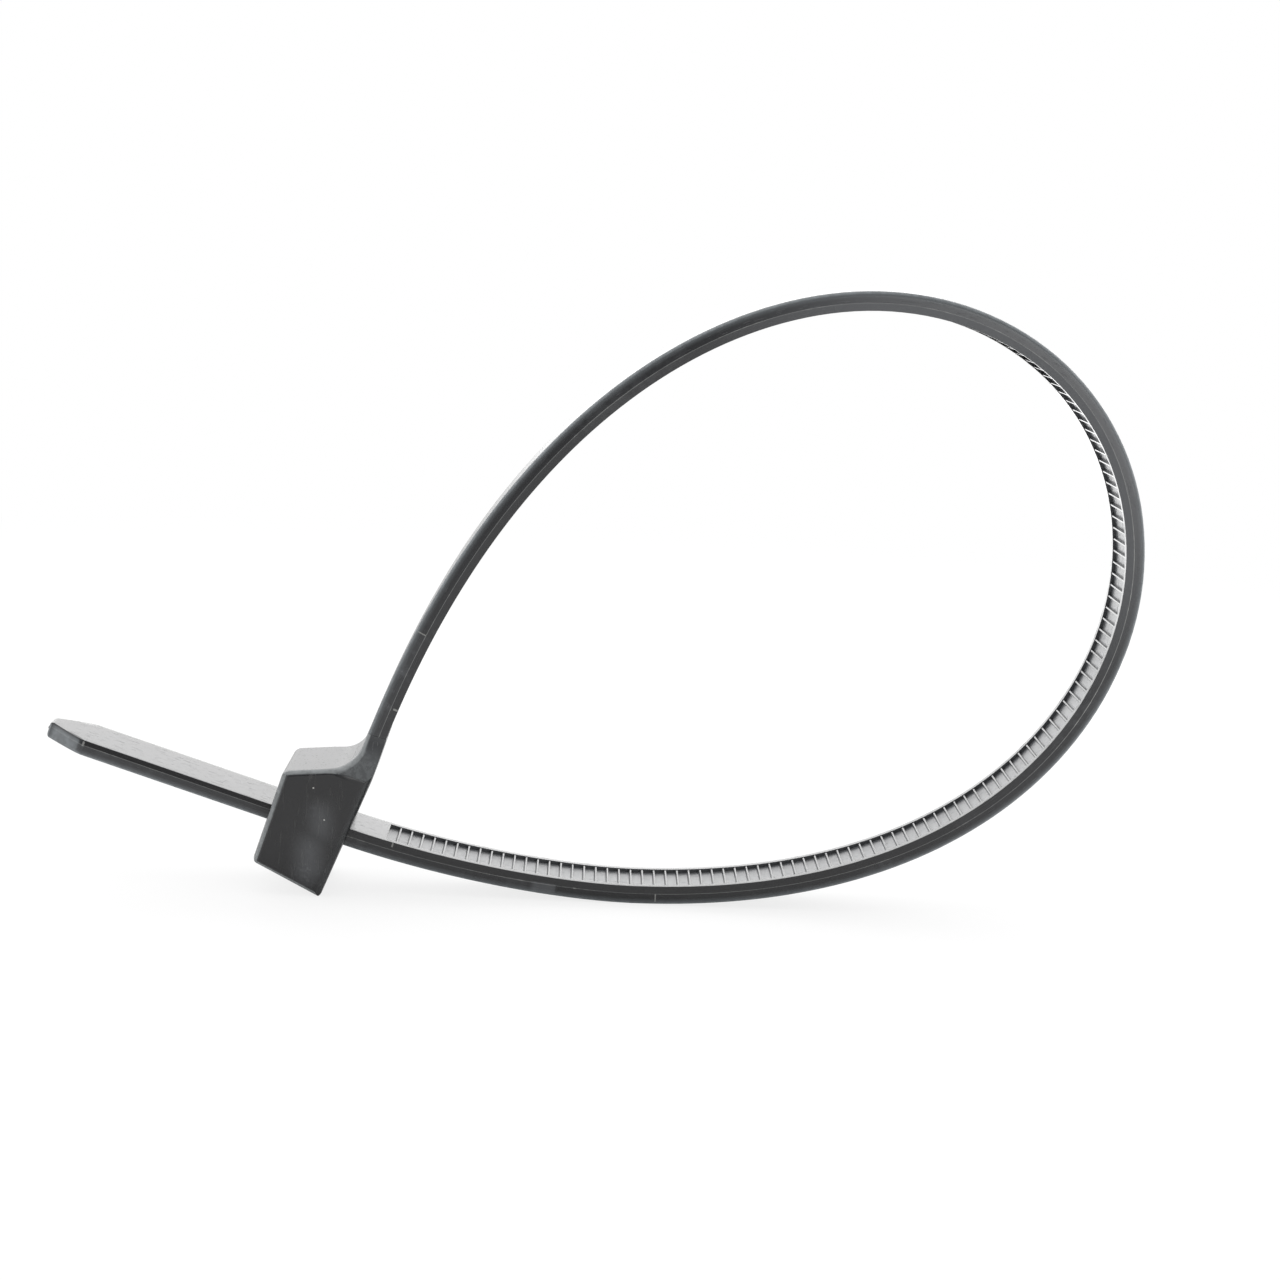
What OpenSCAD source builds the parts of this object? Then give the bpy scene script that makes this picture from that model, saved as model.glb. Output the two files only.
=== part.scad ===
// Black cable tie, closed to a drop-shaped loop and standing on its edge.
// X runs along the loop, Y across the strap, Z up. The tie stands on Z = 0 and is centred in X and Y.
// The strap leaves the top of the head, runs clockwise round the loop and goes back through the slot.

/* [Strap] */
// Width of the strap (mm)
strap_width = 7.6; // [5:0.1:9]
// Thickness of the strap (mm)
strap_thickness = 2.0; // [1.6:0.05:2.3]
// Width of the smooth rail on each side of the teeth (mm)
rail_width = 0.8; // [0.5:0.05:1.4]

/* [Teeth] */
// Distance from one tooth to the next (mm)
tooth_pitch = 1.27; // [1.1:0.01:1.8]
// Depth of the channel at the foot of a tooth (mm)
tooth_depth = 0.35; // [0.35:0.05:1.0]
// How much shallower the channel floor is at the start of each gap (mm)
floor_rise = 0.1; // [0.05:0.01:0.2]
// Width of the flat crest of a tooth (mm)
crest_width = 0.16; // [0.1:0.01:0.3]
// How far a crest stays below the rails (mm)
crest_drop = 0.05; // [0.03:0.01:0.12]
// Length of the slanted back of a tooth (mm)
ramp_run = 0.3; // [0.15:0.01:0.45]
// Smooth length of strap next to the neck (mm)
plain_at_neck = 3.6; // [1:0.1:8]
// Smooth length of strap before the slot (mm)
plain_at_slot = 4.6; // [2:0.1:9]

/* [Loop] */
// From the corner the head stands on to the far outside of the loop (mm)
loop_reach = 84.2; // [76:0.05:104]
// Height of the loop above the floor (mm)
loop_height = 65.3; // [58:0.1:84]
// Place of the highest point, as a share of the reach
top_share = 0.66; // [0.58:0.01:0.74]
// Height of the farthest point, as a share of the loop height
side_share = 0.573; // [0.48:0.001:0.66]
// Place of the lowest point, as a share of the reach
low_share = 0.391; // [0.34:0.001:0.46]
// Fullness of the bend after the neck, as a share of its chord
neck_pull = 0.53; // [0.4:0.01:0.65]
// Fullness of the bend before the top
top_pull_in = 0.235; // [0.18:0.005:0.4]
// Fullness of the bend after the top
top_pull_out = 0.41; // [0.3:0.01:0.55]
// Fullness of the bend before the far side
side_pull_in = 0.4; // [0.3:0.01:0.55]
// Fullness of the bend after the far side
side_pull_out = 0.26; // [0.18:0.01:0.4]
// Fullness of the bend before the lowest point
low_pull_in = 0.575; // [0.45:0.005:0.65]
// Fullness of the bend after the lowest point
low_pull_out = 0.2; // [0.12:0.01:0.35]
// Fullness of the bend before the slot
slot_pull = 0.43; // [0.3:0.01:0.55]

/* [Head] */
// How far the head stands out past each edge of the strap (mm)
head_cheek = 2.05; // [1.4:0.05:3]
// Depth of the head along the slot (mm)
head_depth = 7.87; // [7.2:0.01:9.5]
// Lean of the head and of the tail (degrees)
head_tilt = 17.2; // [14:0.1:20]
// Height of the outer face above the corner that the head stands on (mm)
outer_face_top = 11.6; // [11:0.1:13]
// Slope of the underside of the head (degrees)
underside_slope = 9.8; // [6:0.1:12]
// Slope of the top of the head (degrees)
top_slope = 22.2; // [17:0.1:26]
// Draft of the face turned to the loop (degrees)
inner_face_draft = 4.8; // [3:0.1:5.5]
// Height of the neck above the corner that the head stands on (mm)
neck_top = 17.9; // [17:0.1:20]
// Distance from the neck's centre line to that corner, along the slot (mm)
neck_offset = 0.09; // [-0.2:0.01:0.4]
// Lean of the neck towards the loop (degrees)
neck_lean = 2.5; // [1:0.1:4]
// Height over which the head narrows to the strap (mm)
neck_flare = 4.6; // [3:0.1:5]
// Radius between the top of the head and the neck (mm)
neck_fillet = 3.2; // [2:0.1:3.6]
// How far the end of the neck stands out past the strap, all round (mm)
neck_step = 0.04; // [0.02:0.01:0.1]
// Radius of the edges turned to the loop (mm)
inner_edge_radius = 1.1; // [0.5:0.05:1.4]
// Radius of the edges of the outer face (mm)
outer_edge_radius = 0.85; // [0.4:0.05:1.2]
// Radius of the side edges of the underside (mm)
underside_edge_radius = 0.7; // [0.3:0.05:1]
// Radius of the corner that the head stands on (mm)
foot_radius = 0.35; // [0.2:0.05:0.6]

/* [Slot and pawl] */
// Height of the slot's centre above the corner that the head stands on (mm)
slot_height = 6.58; // [6.1:0.01:6.8]
// Play between the strap and the slot, above and below (mm)
slot_play = 0.25; // [0.15:0.05:0.4]
// Play between the strap and the slot at each side (mm)
slot_side_play = 0.3; // [0.15:0.05:0.5]
// Height of the pawl's pocket above the slot (mm)
pocket_height = 2.6; // [2.2:0.05:2.9]
// Thickness of the wall that carries the pawl (mm)
hinge_wall = 1.4; // [1.1:0.05:1.8]
// Length of the pawl (mm)
pawl_length = 5.0; // [4:0.1:5.4]
// Thickness of the pawl at its root (mm)
pawl_root = 1.3; // [0.9:0.05:1.6]
// Thickness of the pawl at its end (mm)
pawl_end = 1.0; // [0.8:0.05:1.2]
// Number of small teeth under the pawl
pawl_teeth = 3; // [2:1:4]
// Depth of the small teeth under the pawl (mm)
pawl_tooth_depth = 0.4; // [0.2:0.05:0.5]
// Gap between the pawl and the strap (mm)
pawl_gap = 0.15; // [0.1:0.05:0.3]
// Play between the pawl and the sides of its pocket (mm)
pawl_side_play = 0.35; // [0.2:0.05:0.6]
// Length of the toothed stretch under the pawl (mm)
pawl_teeth_run = 2.7; // [2:0.1:3.4]

/* [Tail] */
// Length of the tail past the outer face of the head (mm)
tail_length = 24.8; // [12:0.1:60]
// Thickness of the tail (mm)
tail_thickness = 1.74; // [1.4:0.01:1.9]
// Length of the narrowing tip (mm)
tip_length = 4.3; // [2:0.1:8]
// Width of the tip at its end (mm)
tip_width = 1.6; // [1:0.1:3]
// Radius of the two edges at the end of the tip (mm)
tip_radius = 0.4; // [0.1:0.05:0.6]

/* [Hidden] */

colour_tie = [0.03, 0.03, 0.033];
arc_steps = 8;
underside_arc_steps = 7;
inner_arc_steps = 9;
span_steps = 60;
overlap = 0.4;
beyond = 5;

channel_width = strap_width - 2 * rail_width;
head_width = strap_width + 2 * head_cheek;
slot_low = slot_height - strap_thickness / 2 - slot_play;
slot_high = slot_height + strap_thickness / 2 + slot_play;
slot_width = strap_width + 2 * slot_side_play;
pocket_width = channel_width + slot_side_play;
pawl_width = pocket_width - 2 * pawl_side_play;

// Corners of the head seen from the side, in its own upright frame, the standing corner at 0, 0.
foot = [0, 0];
heel = [-head_depth, head_depth * tan(underside_slope)];
brow = [-head_depth, outer_face_top];
neck_way = [sin(neck_lean), cos(neck_lean)];
neck_right = right_of(neck_way) * (strap_thickness / 2 + neck_step);
neck_centre = [neck_offset, neck_top];
neck_outer = neck_centre - neck_right + neck_way * overlap;
neck_inner = neck_centre + neck_right + neck_way * overlap;
neck_foot = meet(brow, [cos(top_slope), sin(top_slope)], neck_outer, neck_way);
face_top_z = neck_top - neck_flare;
face_top = [face_top_z * tan(inner_face_draft), face_top_z];

// The rounded standing corner touches the floor: the head is lowered by what the radius takes off.
foot_centre = turned(corner_centre(heel, foot, face_top, foot_radius));
head_drop = foot_centre[1] - foot_radius;

// Five points that the loop passes through, and its direction at both ends.
loop_start = placed(neck_centre);
loop_top = [top_share * loop_reach, loop_height - strap_thickness / 2];
loop_side = [loop_reach - strap_thickness / 2, side_share * loop_height];
loop_low = [low_share * loop_reach, strap_thickness / 2];
loop_end = placed([-overlap, slot_height]);
start_way = [sin(head_tilt + neck_lean), cos(head_tilt + neck_lean)];
end_way = [-cos(head_tilt), sin(head_tilt)];

spans = [
    span(loop_start, start_way, neck_pull, loop_top, [1, 0], top_pull_in),
    span(loop_top, [1, 0], top_pull_out, loop_side, [0, -1], side_pull_in),
    span(loop_side, [0, -1], side_pull_out, loop_low, [-1, 0], low_pull_in),
    span(loop_low, [-1, 0], low_pull_out, loop_end, end_way, slot_pull)
];
path_steps = len(spans) * span_steps;
length_table = [
    for (i = 0, run = 0, old = path_at(0);
         i <= path_steps;
         i = i + 1, new = path_at(i / span_steps), run = run + norm(new - old), old = new)
        [run, i / span_steps]
];
loop_length = length_table[path_steps][0];

teeth_space = loop_length - plain_at_neck - plain_at_slot - overlap;
tooth_count = floor(teeth_space / tooth_pitch);
teeth_end = loop_length - plain_at_slot - overlap;
teeth_start = teeth_end - tooth_count * tooth_pitch;

// The part is centred in X between the rounded end of the tail and the far side of the loop.
tail_end_x = -head_depth - tail_length;
tail_low = slot_height - strap_thickness / 2;
tail_high = tail_low + tail_thickness;
tip_centre = placed([tail_end_x + tip_radius, tail_low + tip_radius]);
centre_x = (tip_centre[0] - tip_radius + loop_reach) / 2;

// A unit vector along v.
function unit(v) = v / norm(v);

// The vector v turned a quarter turn clockwise.
function right_of(v) = [v[1], -v[0]];

// A point of the head's frame turned by the head's lean.
function turned(p) = [
    p[0] * cos(head_tilt) + p[1] * sin(head_tilt),
    p[1] * cos(head_tilt) - p[0] * sin(head_tilt)
];

// A point of the head's frame, placed so that the head stands on the floor.
function placed(p) = turned(p) - [0, head_drop];

// Where the line through a along u meets the line through b along v.
function meet(a, u, b, v) = a + u * cross(b - a, v) / cross(u, v);

// Centre of the arc of radius r that rounds the corner b between a and c.
function corner_centre(a, b, c, r) =
    let (
        u = unit(a - b),
        v = unit(c - b),
        half = acos(u * v) / 2
    )
    b + unit(u + v) * r / sin(half);

// Points of that arc, from the side of a to the side of c.
function rounded(a, b, c, r, steps = arc_steps) =
    let (
        u = unit(a - b),
        v = unit(c - b),
        m = corner_centre(a, b, c, r),
        half = acos(u * v) / 2,
        p = b + u * r / tan(half) - m,
        q = b + v * r / tan(half) - m,
        sweep = 180 - 2 * half
    )
    [
        for (k = [0:steps])
            m + (p * sin(sweep * (1 - k / steps)) + q * sin(sweep * k / steps)) / sin(sweep)
    ];

// Four control points of one bend of the loop. Each pull is a share of the chord.
function span(from, way_from, pull_from, to, way_to, pull_to) =
    let (chord = norm(to - from))
    [from, from + way_from * pull_from * chord, to - way_to * pull_to * chord, to];

// The bend that holds the place t, and how far t is along it.
function bend_of(t) = min(floor(t), len(spans) - 1);

// Point of the centre line at t, which counts the bends from the neck.
function path_at(t) =
    let (
        b = spans[bend_of(t)],
        w = t - bend_of(t),
        v = 1 - w
    )
    b[0] * v * v * v + b[1] * 3 * v * v * w + b[2] * 3 * v * w * w + b[3] * w * w * w;

// Direction of the centre line at t.
function way_at(t) =
    let (
        b = spans[bend_of(t)],
        w = t - bend_of(t),
        v = 1 - w
    )
    unit((b[1] - b[0]) * v * v + (b[2] - b[1]) * 2 * v * w + (b[3] - b[2]) * w * w);

// Point at the run s along the strap, set off towards the inside of the loop.
function beside(s, offset) =
    let (t = lookup(s, length_table))
    path_at(t) + right_of(way_at(t)) * offset;

// Point at the run s, at a depth below the inner face of the strap.
function below_face(s, depth) = beside(s, strap_thickness / 2 - depth);

// Run values from 0 to the end of the loop, about one tooth pitch apart.
strap_stations = ceil(loop_length / tooth_pitch);
strap_runs = [for (k = [0:strap_stations]) loop_length * k / strap_stations];

// The strap and the tail seen from the side, in one line from the neck to the tip.
module strap_outline() {
    root = loop_start - start_way * overlap;
    half = right_of(start_way) * strap_thickness / 2;
    step_x = -head_depth / 2;
    low_corner = [tail_end_x, tail_low];
    high_corner = [tail_end_x, tail_high];
    outer = [for (s = strap_runs) beside(s, -strap_thickness / 2)];
    inner = [for (s = strap_runs) beside(s, strap_thickness / 2)];
    polygon(concat(
        [root - half],
        outer,
        [for (p = rounded([0, tail_low], low_corner, high_corner, tip_radius)) placed(p)],
        [for (p = rounded(low_corner, high_corner, [0, tail_high], tip_radius)) placed(p)],
        [placed([step_x, tail_high]), placed([step_x, tail_low + strap_thickness])],
        [for (k = [strap_stations:-1:0]) inner[k]],
        [root + half]
    ));
}

// The channel between the rails seen from the side: one gap for each tooth.
module channel_outline() {
    gaps = [
        for (i = [0:tooth_count - 1])
            let (s = teeth_start + i * tooth_pitch)
            each [
                if (i > 0) below_face(s, crest_drop),
                if (i > 0) below_face(s + crest_width, crest_drop),
                below_face(s + crest_width + (i > 0 ? ramp_run : 0), tooth_depth - floor_rise),
                below_face(s + tooth_pitch, tooth_depth)
            ]
    ];
    lid = [for (i = [tooth_count:-1:0]) below_face(teeth_start + i * tooth_pitch, -overlap)];
    first_wall = below_face(teeth_start + crest_width, -overlap);
    polygon(concat(gaps, [for (i = [0:tooth_count - 1]) lid[i]], [first_wall]));
}

// Stands a side outline up and gives it a width, evenly about Y = 0.
module across(width) {
    rotate([90, 0, 0])
        linear_extrude(width, center = true)
            children();
}

// Places what is drawn in the head's own frame.
module in_head_frame() {
    translate([0, 0, -head_drop])
        rotate([0, head_tilt, 0])
            children();
}

// The head and the neck seen from the side.
module head_side() {
    polygon(concat(
        rounded(face_top, foot, heel, foot_radius),
        rounded(foot, heel, brow, outer_edge_radius),
        rounded(heel, brow, neck_foot, outer_edge_radius),
        rounded(brow, neck_foot, neck_outer, neck_fillet),
        [neck_outer, neck_inner, face_top]
    ));
}

// The head seen along the slot: straight below, with a shoulder that narrows evenly to the neck above.
module head_front() {
    neck_side = strap_width / 2 + neck_step;
    spread = head_width / 2 - neck_side;
    half = concat(
        [[head_width / 2, -beyond]],
        [
            for (k = [0:arc_steps])
                [
                    neck_side + spread * (1 - sin(90 * k / arc_steps)),
                    face_top_z + neck_flare * k / arc_steps
                ]
        ]
    );
    polygon(concat(half, [for (k = [len(half) - 1:-1:0]) [-half[k][0], half[k][1]]]));
}

// A long bar along Z as wide as the head. Its edges at X = 0 are rounded, its body lies towards +X.
// Bars that meet have different numbers of steps, so that no two of their lines cross in one point.
module rounded_bar(radius, steps) {
    side = head_width / 2;
    far = head_depth + neck_top;
    half = rounded([far, side], [0, side], [0, 0], radius, steps);
    translate([0, 0, -far])
        linear_extrude(2 * far)
            polygon(concat(
                [[far, side]],
                half,
                [for (k = [len(half) - 1:-1:0]) [half[k][0], -half[k][1]]],
                [[far, -side]]
            ));
}

// Head and neck: what the side, the front and three bars with rounded edges have in common.
module head_solid() {
    intersection() {
        across(head_width)
            head_side();
        translate([-head_depth - beyond, 0, 0])
            rotate([90, 0, 90])
                linear_extrude(head_depth + 3 * beyond)
                    head_front();
        translate([-head_depth, 0, 0])
            rounded_bar(outer_edge_radius, arc_steps);
        rotate([0, underside_slope - 90, 0])
            rounded_bar(underside_edge_radius, underside_arc_steps);
        rotate([0, -inner_face_draft, 180])
            rounded_bar(inner_edge_radius, inner_arc_steps);
    }
}

// The slot through the head and the pocket above it, open at the outer face.
module slot_hollow() {
    long = head_depth + 2 * beyond;
    translate([-head_depth - beyond, -slot_width / 2, slot_low])
        cube([long, slot_width, slot_high - slot_low]);
    translate([-head_depth - beyond, -pocket_width / 2, slot_high - overlap])
        cube([head_depth + beyond - hinge_wall, pocket_width, pocket_height + overlap]);
}

// The pawl: a tongue from the wall on the loop side, with small teeth over the strap.
module pawl() {
    strap_face = slot_height + strap_thickness / 2;
    tip_z = strap_face + pawl_gap;
    web_z = tip_z + pawl_tooth_depth;
    root_top = slot_high + pocket_height - pawl_side_play;
    root_x = -hinge_wall;
    end_x = root_x - pawl_length;
    step = pawl_teeth_run / pawl_teeth;
    back_step = 0.8 * step;
    across(pawl_width)
        polygon(concat(
            [
                [root_x + overlap, root_top],
                [root_x + overlap, root_top - pawl_root],
                [end_x + pawl_teeth_run, web_z]
            ],
            [
                for (k = [0:pawl_teeth - 1])
                    each [
                        [end_x + pawl_teeth_run - k * step - back_step, tip_z],
                        [end_x + pawl_teeth_run - (k + 1) * step, k < pawl_teeth - 1 ? web_z : tip_z]
                    ]
            ],
            [[end_x, tip_z + pawl_end]]
        ));
}

// What is cut off one side of the tail's end, so that the tip narrows.
module tip_cut() {
    from = [tail_end_x + tip_length, strap_width / 2];
    to = [tail_end_x, tip_width / 2];
    way = unit(to - from);
    start = from - way * overlap;
    end = to + way * overlap;
    translate([0, 0, slot_low - overlap])
        linear_extrude(slot_high - slot_low + 2 * overlap)
            polygon([start, end, [end[0], strap_width], [start[0], strap_width]]);
}

// The strap with its teeth, and the tail with its tip.
module strap() {
    difference() {
        across(strap_width)
            strap_outline();
        across(channel_width)
            channel_outline();
        in_head_frame() {
            tip_cut();
            mirror([0, 1, 0])
                tip_cut();
        }
    }
}

// The whole tie, moulded in one piece.
module cable_tie() {
    color(colour_tie)
        translate([-centre_x, 0, 0]) {
            strap();
            in_head_frame() {
                difference() {
                    head_solid();
                    slot_hollow();
                }
                pawl();
            }
        }
}

cable_tie();
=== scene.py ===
import math
from contextlib import contextmanager
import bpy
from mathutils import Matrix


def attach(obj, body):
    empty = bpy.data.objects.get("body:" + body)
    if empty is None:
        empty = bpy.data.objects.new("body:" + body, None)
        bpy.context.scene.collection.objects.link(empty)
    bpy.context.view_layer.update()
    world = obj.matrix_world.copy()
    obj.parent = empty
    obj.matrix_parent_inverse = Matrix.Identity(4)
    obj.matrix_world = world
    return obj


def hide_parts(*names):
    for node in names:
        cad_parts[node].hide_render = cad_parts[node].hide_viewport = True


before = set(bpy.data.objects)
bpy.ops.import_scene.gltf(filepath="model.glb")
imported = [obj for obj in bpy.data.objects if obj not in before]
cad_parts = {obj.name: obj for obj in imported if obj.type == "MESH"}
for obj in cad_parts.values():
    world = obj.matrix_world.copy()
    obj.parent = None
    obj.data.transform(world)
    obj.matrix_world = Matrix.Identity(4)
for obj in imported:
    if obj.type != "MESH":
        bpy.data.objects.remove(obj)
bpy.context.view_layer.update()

from types import SimpleNamespace

import bmesh
import bpy
from bpy.props import FloatProperty, FloatVectorProperty, IntProperty, PointerProperty
from bpy.types import Operator, Panel, PropertyGroup
from mathutils import Vector

bl_info = {
    "name": "Cable Tie",
    "version": (1, 0, 0),
    "blender": (4, 5, 0),
    "location": "View3D > Sidebar > Cable Tie",
    "description": "Models a closed nylon cable tie and the stage it is shown on",
    "category": "Object",
}

NODE = "cable_tie"
PER_METRE = 1000
RUN_MAP = "strap run"

# In millimetres: how far pieces reach into each other, how far tools reach past a piece,
# and how near two places count as one
OVERLAP = 0.4
BEYOND = 5.0
SAME_PLACE = 1e-3

# Turns of what is drawn flat
UPRIGHT = (0, 0, 0)
SIDE_ON = (math.pi / 2, 0, 0)
END_ON = (math.pi / 2, 0, math.pi / 2)

# Steps of the curves and the rounded edges
CURVE_STEPS = 64
OUTER_STEPS, INNER_STEPS, PLAIN_STEPS = 3, 2, 4
TIP_STEPS, NOSE_STEPS = 6, 4
EDGE_STEPS, RIM_STEPS, MOUTH_STEPS = 6, 5, 2
FOOT_STEPS, SHOULDER_STEPS, FLARE_STEPS, FILLET_STEPS = 4, 4, 9, 10

# A face looks along an axis when its normal has more than this of it
FACING = 0.9
# On the head's rims: how much of Y the outer face has at most and the cheek at least, and
# how much of X and Z the outer face has at most and at least
RIM_FLAT, RIM_CHEEK, RIM_OUT, RIM_UP = 0.05, 0.5, -0.3, -0.1
# Edges that turn by less than this are smooth
SMOOTH_ANGLE = math.radians(32)
# Shares of the head's depth between which the strap narrows to the thickness of the tail
THINNING = (0.4, 0.6)
# Width and height of the mould's nub, as shares of the tip's end
NUB_SHARES = (0.45, 0.3)
# Where a pawl tooth has its lowest point, as a share of its length
PAWL_TOOTH_LOW = 0.8


def mm(value):
    """Millimetres in metres."""
    return value / PER_METRE


# Properties

def length(text, millimetres, low, high):
    """A length in metres, written here in millimetres."""
    return FloatProperty(
        description=text, unit="LENGTH", precision=5,
        default=mm(millimetres), min=mm(low), max=mm(high),
    )


def angle(text, degrees, low, high):
    """An angle in radians, written here in degrees."""
    return FloatProperty(
        description=text, subtype="ANGLE",
        default=math.radians(degrees), min=math.radians(low), max=math.radians(high),
    )


def share(text, value, low, high):
    """A share of another size."""
    return FloatProperty(description=text, default=value, min=low, max=high, precision=3)


def colour(text, value):
    """A plain colour."""
    return FloatVectorProperty(
        description=text, subtype="COLOR", size=3, default=value, min=0, max=1)


class TieStrap(PropertyGroup):
    """Sizes of the strap and its teeth."""

    width: length("Width of the strap", 7.6, 5, 9)
    thickness: length("Thickness of the strap", 2.0, 1.6, 2.3)
    rail: length("Width of the smooth rail on each side of the teeth", 0.8, 0.5, 1.4)
    outer_radius: length("Radius of the two edges on the outside", 0.5, 0.1, 0.6)
    inner_bevel: length("Bevel of the two edges on the inside", 0.07, 0.02, 0.2)
    draft: length("How much each edge face leans in", 0.045, 0.01, 0.1)
    flash: length("Height of the mould's parting line", 0.02, 0.005, 0.05)
    parting: share("Place of the parting line, from the inside", 0.4, 0.3, 0.7)
    pitch: length("Distance from one tooth to the next", 1.27, 1.1, 1.8)
    depth: length("Depth of the channel at the foot of a tooth", 0.35, 0.35, 1)
    floor_rise: length("How much shallower each gap starts", 0.02, 0.01, 0.2)
    crest: length("Width of the flat crest of a tooth", 0.16, 0.1, 0.3)
    crest_drop: length("How far a crest stays below the rails", 0.05, 0.03, 0.12)
    ramp: length("Length of the slanted back of a tooth", 0.12, 0.1, 0.45)
    plain_at_neck: length("Smooth length next to the neck", 3.6, 1, 8)
    plain_at_slot: length("Smooth length before the slot", 4.6, 2, 9)


class TieLoop(PropertyGroup):
    """The curve of the closed loop."""

    reach: length("From the foot of the head to the far side", 84.2, 76, 104)
    height: length("Height of the loop above the floor", 65.3, 58, 84)
    top_share: share("Place of the highest point along the reach", 0.66, 0.58, 0.74)
    side_share: share("Height of the farthest point", 0.573, 0.48, 0.66)
    low_share: share("Place of the lowest point along the reach", 0.391, 0.34, 0.46)
    neck_pull: share("Fullness of the bend after the neck", 0.53, 0.4, 0.65)
    top_pull_in: share("Fullness of the bend before the top", 0.235, 0.18, 0.4)
    top_pull_out: share("Fullness of the bend after the top", 0.41, 0.3, 0.55)
    side_pull_in: share("Fullness of the bend before the far side", 0.4, 0.3, 0.55)
    side_pull_out: share("Fullness of the bend after that point", 0.26, 0.18, 0.4)
    low_pull_in: share("Fullness of the bend before the low", 0.575, 0.45, 0.65)
    low_pull_out: share("Fullness of the bend after the low", 0.2, 0.12, 0.35)
    slot_pull: share("Fullness of the bend before the slot", 0.43, 0.3, 0.55)


class TieHead(PropertyGroup):
    """Sizes of the head, its slot and its pawl."""

    cheek: length("How far the head stands out past the strap", 2.05, 1.4, 3)
    depth: length("Depth of the head along the slot", 7.87, 7.2, 9.5)
    tilt: angle("Lean of the head and of the tail", 17.2, 14, 20)
    outer_top: length("Height of the outer face over the foot", 11.6, 11, 13)
    underside: angle("Slope of the underside", 9.8, 6, 12)
    top_slope: angle("Slope of the top", 22.2, 17, 26)
    inner_draft: angle("Draft of the face turned to the loop", 4.8, 3, 5.5)
    neck_top: length("Height of the neck over the foot", 17.9, 17, 20)
    neck_offset: length("From the foot to the neck's centre line", 0.09, -0.2, 0.4)
    neck_lean: angle("Lean of the neck towards the loop", 2.5, 1, 4)
    neck_flare: length("Height over which the head narrows", 4.6, 3, 5)
    neck_fillet: length("Radius between the top and the neck", 3.2, 2, 3.6)
    neck_step: length("How far the neck stands out past the strap", 0.03, 0.02, 0.1)
    inner_radius: length("Radius of the edges turned to the loop", 1.1, 0.5, 1.4)
    outer_radius: length("Radius of the edges of the outer face", 0.85, 0.4, 1.2)
    low_radius: length("Radius of the side edges of the underside", 0.7, 0.3, 1)
    rim_radius: length("Radius of the top's and neck's side edges", 0.6, 0.2, 0.7)
    shoulder_radius: length("Radius of the ridge under the neck", 1.2, 0.5, 1.6)
    foot_radius: length("Radius of the foot that the head stands on", 0.35, 0.2, 0.6)
    slot_height: length("Height of the slot's centre over the foot", 6.58, 6.1, 6.8)
    slot_play: length("Play above and below the strap", 0.25, 0.15, 0.4)
    slot_side_play: length("Play at each side of the strap", 0.3, 0.15, 0.5)
    mouth: length("Bevel of the slot's and the pocket's mouth", 0.2, 0.05, 0.3)
    pocket: length("Height of the pawl's pocket over the slot", 2.6, 2.2, 2.9)
    hinge_wall: length("Thickness of the wall that carries the pawl", 1.4, 1.1, 1.8)
    pawl_length: length("Length of the pawl", 5.0, 4, 5.4)
    pawl_root: length("Thickness of the pawl at its root", 1.3, 0.9, 1.6)
    pawl_end: length("Thickness of the pawl at its end", 1.0, 0.8, 1.2)
    pawl_teeth: IntProperty(
        description="Number of small teeth under the pawl", default=3, min=2, max=4)
    pawl_tooth: length("Depth of the small teeth under the pawl", 0.4, 0.2, 0.5)
    pawl_gap: length("Gap between the pawl and the strap", 0.15, 0.1, 0.3)
    pawl_side_play: length("Play between the pawl and its pocket", 0.35, 0.2, 0.6)
    pawl_run: length("Length of the toothed stretch under the pawl", 2.7, 2, 3.4)


class TieTail(PropertyGroup):
    """Sizes of the tail."""

    length: length("Length past the outer face of the head", 24.8, 12, 60)
    thickness: length("Thickness of the tail", 1.74, 1.4, 1.9)
    tip: length("Length of the narrowing tip", 4.3, 2, 8)
    tip_width: length("Width of the tip at its end", 1.6, 1, 3)
    tip_bend: share("How softly the sides of the tip start to lean in", 1.25, 1, 1.6)
    tip_radius: length("Radius of the edges at the end of the tip", 0.4, 0.1, 0.6)
    nub: length("Length of the mould's nub on the tip", 0.12, 0.05, 0.13)


class TieFinish(PropertyGroup):
    """Colours and gloss of the nylon."""

    nylon: colour("Colour of the clean nylon", (0.006, 0.006, 0.007))
    # The bloom colour also stands for the painted fill light in the channel
    bloom: colour("Colour of the pale bloom on the surface", (0.088, 0.092, 0.098))
    # The worn colour is also the painted rim highlight
    worn: colour("Colour of the worn edges", (0.165, 0.18, 0.19))
    # The dust colour is also painted as highlights on the parting line, the crests and the head's
    # rims
    dust: colour("Colour of the dust specks and the marks of the mould", (0.42, 0.42, 0.4))
    gloss: share("Roughness of the clean surface", 0.2, 0.1, 0.6)
    dull: share("Roughness of the bloomed or worn surface", 0.5, 0.3, 0.9)
    # Haze also scales the painted fill light in the channel
    haze: share("How much bloom the surface has", 1, 0, 2)
    # Scales the worn edges and their painted rim highlight
    wear: share("How worn the edges are", 1, 0, 1)
    neck_mark: length("Run to the end of the mould's first insert", 11.93, 8, 15)
    patch_start: length("Run to the start of the smooth patch", 183.2, 150, 185)
    patch_end: length("Run to the end of the smooth patch", 193.7, 186, 200)


class TieStage(PropertyGroup):
    """Floor and light."""

    floor: colour("Colour of the floor", (0.8, 0.8, 0.8))
    floor_white: share("How much the floor is shown plain white", 0.8, 0, 1)
    front_level: share("Light of the surroundings on the camera's side", 0.37, 0.1, 1)
    back_level: share("Light of the surroundings behind the tie", 1.0, 0.5, 1.5)
    side_level: share("Light that the surroundings have more at both sides", 0.9, 0, 2)


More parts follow.
